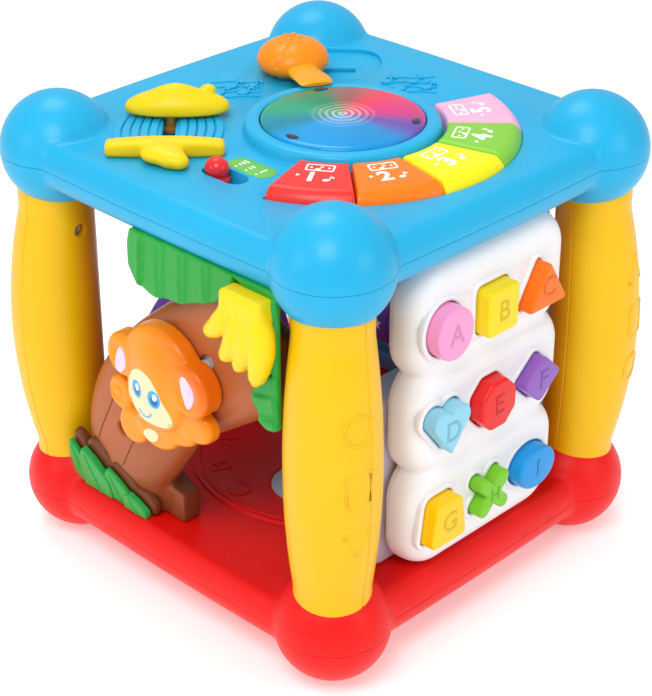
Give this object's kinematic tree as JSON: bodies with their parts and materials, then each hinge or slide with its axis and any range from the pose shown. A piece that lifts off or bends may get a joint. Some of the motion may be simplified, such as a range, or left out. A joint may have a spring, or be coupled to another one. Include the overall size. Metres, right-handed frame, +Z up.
{
  "type": "baby activity cube",
  "caption": "Cube-shaped baby toy: blue top with keys, spinner and levers on bowed yellow legs and a red base, with letter buttons, a sliding monkey, rollers and a wheel.",
  "frame": {"origin": "on the floor under the middle of the whole toy", "axes": "+Z up, -Y out of the letter side, -X out of the tree side"},
  "size_m": [0.3098, 0.3106, 0.3194],
  "materials": {
    "blue_shell": "satin moulded ABS, bright blue",
    "red_shell": "satin moulded ABS, red",
    "yellow_leg": "blow-moulded look, golden yellow",
    "pale_cap": "pale grey moulded plastic",
    "steel": "zinc plated",
    "disc_print": "clear-coated print, colours blend round the disc",
    "clip_white": "natural acetal",
    "mic_orange": "gloss orange",
    "handle_amber": "gloss amber",
    "key_red": "gloss, printed numeral",
    "key_orange": "gloss, printed numeral",
    "key_yellow": "gloss, printed numeral",
    "key_green": "gloss, printed numeral",
    "key_pink": "gloss, printed numeral",
    "cymbal_yellow": "gloss lemon yellow",
    "knob_red": "gloss red",
    "board_green": "glass-fibre board with solder mask",
    "speaker_black": "paper cone and pressed frame",
    "panel_white": "satin white",
    "panel_rear": "satin warm white",
    "button_pink": "gloss",
    "button_yellow": "gloss",
    "button_orange": "gloss",
    "button_sky": "gloss",
    "button_red": "gloss",
    "button_purple": "gloss",
    "button_gold": "gloss",
    "button_green": "gloss",
    "button_blue": "gloss",
    "housing_lilac": "pale lilac grey",
    "cell_wrap": "plain wrapped cell",
    "trunk_brown": "satin brown with sprayed shading",
    "trunk_dark": "satin dark brown",
    "monkey_orange": "gloss orange shading to red",
    "banana_yellow": "gloss yellow",
    "leaf_green": "satin green",
    "grass_green": "satin green",
    "frame_slate": "satin grey blue",
    "roller_purple": "gloss purple with white print",
    "roller_orange": "gloss orange",
    "crown_lime": "satin lime",
    "dome_purple": "satin purple"
  },
  "bodies": {
    "frame": {"base_cover": "red_shell", "base_tray": "red_shell", "floor_cap": "pale_cap", "top_cover": "blue_shell", "top_tray": "blue_shell", "leg_front_left": "yellow_leg", "leg_front_right": "yellow_leg", "leg_back_right": "yellow_leg", "leg_back_left": "yellow_leg", "leg_screw_front_left": "steel", "leg_screw_front_right": "steel", "leg_screw_back_right": "steel", "leg_screw_back_left": "steel", "cymbal_fixed": "cymbal_yellow", "main_board": "board_green", "speaker": "speaker_black", "letter_panel_front": "panel_white", "letter_panel_rear": "panel_rear", "switch_board": "board_green", "battery_housing": "housing_lilac", "battery_door": "housing_lilac", "cell_1": "cell_wrap", "cell_2": "cell_wrap", "cell_3": "cell_wrap", "trunk_front": "trunk_brown", "trunk_rear": "trunk_dark", "banana_bunch": "banana_yellow", "leaf_top": "leaf_green", "leaf_side": "leaf_green", "grass": "grass_green", "roller_frame": "frame_slate", "roller_crown": "crown_lime", "dome_front": "dome_purple", "dome_rear": "dome_purple"},
    "spinner": {"spinner_disc": "disc_print", "spinner_clip": "clip_white"},
    "lever": {"lever_arm": "clip_white", "microphone_head": "mic_orange", "microphone_handle": "handle_amber"},
    "key_red_body": {"key_red": "key_red"},
    "key_orange_body": {"key_orange": "key_orange"},
    "key_yellow_body": {"key_yellow": "key_yellow"},
    "key_green_body": {"key_green": "key_green"},
    "key_pink_body": {"key_pink": "key_pink"},
    "cymbal": {"cymbal_slider": "cymbal_yellow"},
    "volume": {"volume_knob": "knob_red"},
    "button_a_body": {"button_a": "button_pink"},
    "button_b_body": {"button_b": "button_yellow"},
    "button_c_body": {"button_c": "button_orange"},
    "button_d_body": {"button_d": "button_sky"},
    "button_e_body": {"button_e": "button_red"},
    "button_f_body": {"button_f": "button_purple"},
    "button_g_body": {"button_g": "button_gold"},
    "button_h_body": {"button_h": "button_green"},
    "button_i_body": {"button_i": "button_blue"},
    "monkey_slider": {"monkey": "monkey_orange", "monkey_carriage": "clip_white"},
    "roller_low": {"roller_1": "roller_purple"},
    "roller_high": {"roller_2": "roller_orange"},
    "wheel_turn": {"wheel": "roller_orange"}
  },
  "joints": [
    {"name": "spinner_turn", "type": "hinge", "parent": "frame", "child": "spinner", "pos_m": [0.00346, -0.0155, 0.2906], "axis": [0, 0, 1], "continuous": true},
    {"name": "lever_swing", "type": "hinge", "parent": "frame", "child": "lever", "pos_m": [0.00346, -0.0155, 0.2906], "axis": [0, 0, 1], "range_deg": [-22, 10]},
    {"name": "key_red_press", "type": "slide", "parent": "frame", "child": "key_red_body", "axis": [0, 0, -1], "range_m": [0, 0.0022], "stiffness_N_per_m": 400, "springref_m": -0.002},
    {"name": "key_orange_press", "type": "slide", "parent": "frame", "child": "key_orange_body", "axis": [0, 0, -1], "range_m": [0, 0.0022], "stiffness_N_per_m": 400, "springref_m": -0.002},
    {"name": "key_yellow_press", "type": "slide", "parent": "frame", "child": "key_yellow_body", "axis": [0, 0, -1], "range_m": [0, 0.0022], "stiffness_N_per_m": 400, "springref_m": -0.002},
    {"name": "key_green_press", "type": "slide", "parent": "frame", "child": "key_green_body", "axis": [0, 0, -1], "range_m": [0, 0.0022], "stiffness_N_per_m": 400, "springref_m": -0.002},
    {"name": "key_pink_press", "type": "slide", "parent": "frame", "child": "key_pink_body", "axis": [0, 0, -1], "range_m": [0, 0.0022], "stiffness_N_per_m": 400, "springref_m": -0.002},
    {"name": "cymbal_slide", "type": "slide", "parent": "frame", "child": "cymbal", "axis": [-0.7071, -0.7071, 0], "range_m": [0, 0.032]},
    {"name": "volume_slide", "type": "slide", "parent": "frame", "child": "volume", "axis": [0, -1, 0], "range_m": [0, 0.014]},
    {"name": "button_a_press", "type": "slide", "parent": "frame", "child": "button_a_body", "axis": [0, 1, 0], "range_m": [0, 0.0022], "stiffness_N_per_m": 350, "springref_m": -0.001},
    {"name": "button_b_press", "type": "slide", "parent": "frame", "child": "button_b_body", "axis": [0, 1, 0], "range_m": [0, 0.0022], "stiffness_N_per_m": 350, "springref_m": -0.001},
    {"name": "button_c_press", "type": "slide", "parent": "frame", "child": "button_c_body", "axis": [0, 1, 0], "range_m": [0, 0.0022], "stiffness_N_per_m": 350, "springref_m": -0.001},
    {"name": "button_d_press", "type": "slide", "parent": "frame", "child": "button_d_body", "axis": [0, 1, 0], "range_m": [0, 0.0022], "stiffness_N_per_m": 350, "springref_m": -0.001},
    {"name": "button_e_press", "type": "slide", "parent": "frame", "child": "button_e_body", "axis": [0, 1, 0], "range_m": [0, 0.0022], "stiffness_N_per_m": 350, "springref_m": -0.001},
    {"name": "button_f_press", "type": "slide", "parent": "frame", "child": "button_f_body", "axis": [0, 1, 0], "range_m": [0, 0.0022], "stiffness_N_per_m": 350, "springref_m": -0.001},
    {"name": "button_g_press", "type": "slide", "parent": "frame", "child": "button_g_body", "axis": [0, 1, 0], "range_m": [0, 0.0022], "stiffness_N_per_m": 350, "springref_m": -0.001},
    {"name": "button_h_press", "type": "slide", "parent": "frame", "child": "button_h_body", "axis": [0, 1, 0], "range_m": [0, 0.0022], "stiffness_N_per_m": 350, "springref_m": -0.001},
    {"name": "button_i_press", "type": "slide", "parent": "frame", "child": "button_i_body", "axis": [0, 1, 0], "range_m": [0, 0.0022], "stiffness_N_per_m": 350, "springref_m": -0.001},
    {"name": "monkey_slide", "type": "slide", "parent": "frame", "child": "monkey_slider", "axis": [0, -0.7145, 0.6997], "range_m": [-0.03, 0.008]},
    {"name": "roller_low_turn", "type": "hinge", "parent": "frame", "child": "roller_low", "pos_m": [0.12546, -0.006, 0.0971], "axis": [0, 1, 0], "continuous": true},
    {"name": "roller_high_turn", "type": "hinge", "parent": "frame", "child": "roller_high", "pos_m": [0.12546, -0.006, 0.1551], "axis": [0, 1, 0], "continuous": true},
    {"name": "wheel_spin", "type": "hinge", "parent": "frame", "child": "wheel_turn", "pos_m": [0.01346, 0.128, 0.0971], "axis": [0, 1, 0], "continuous": true}
  ]
}
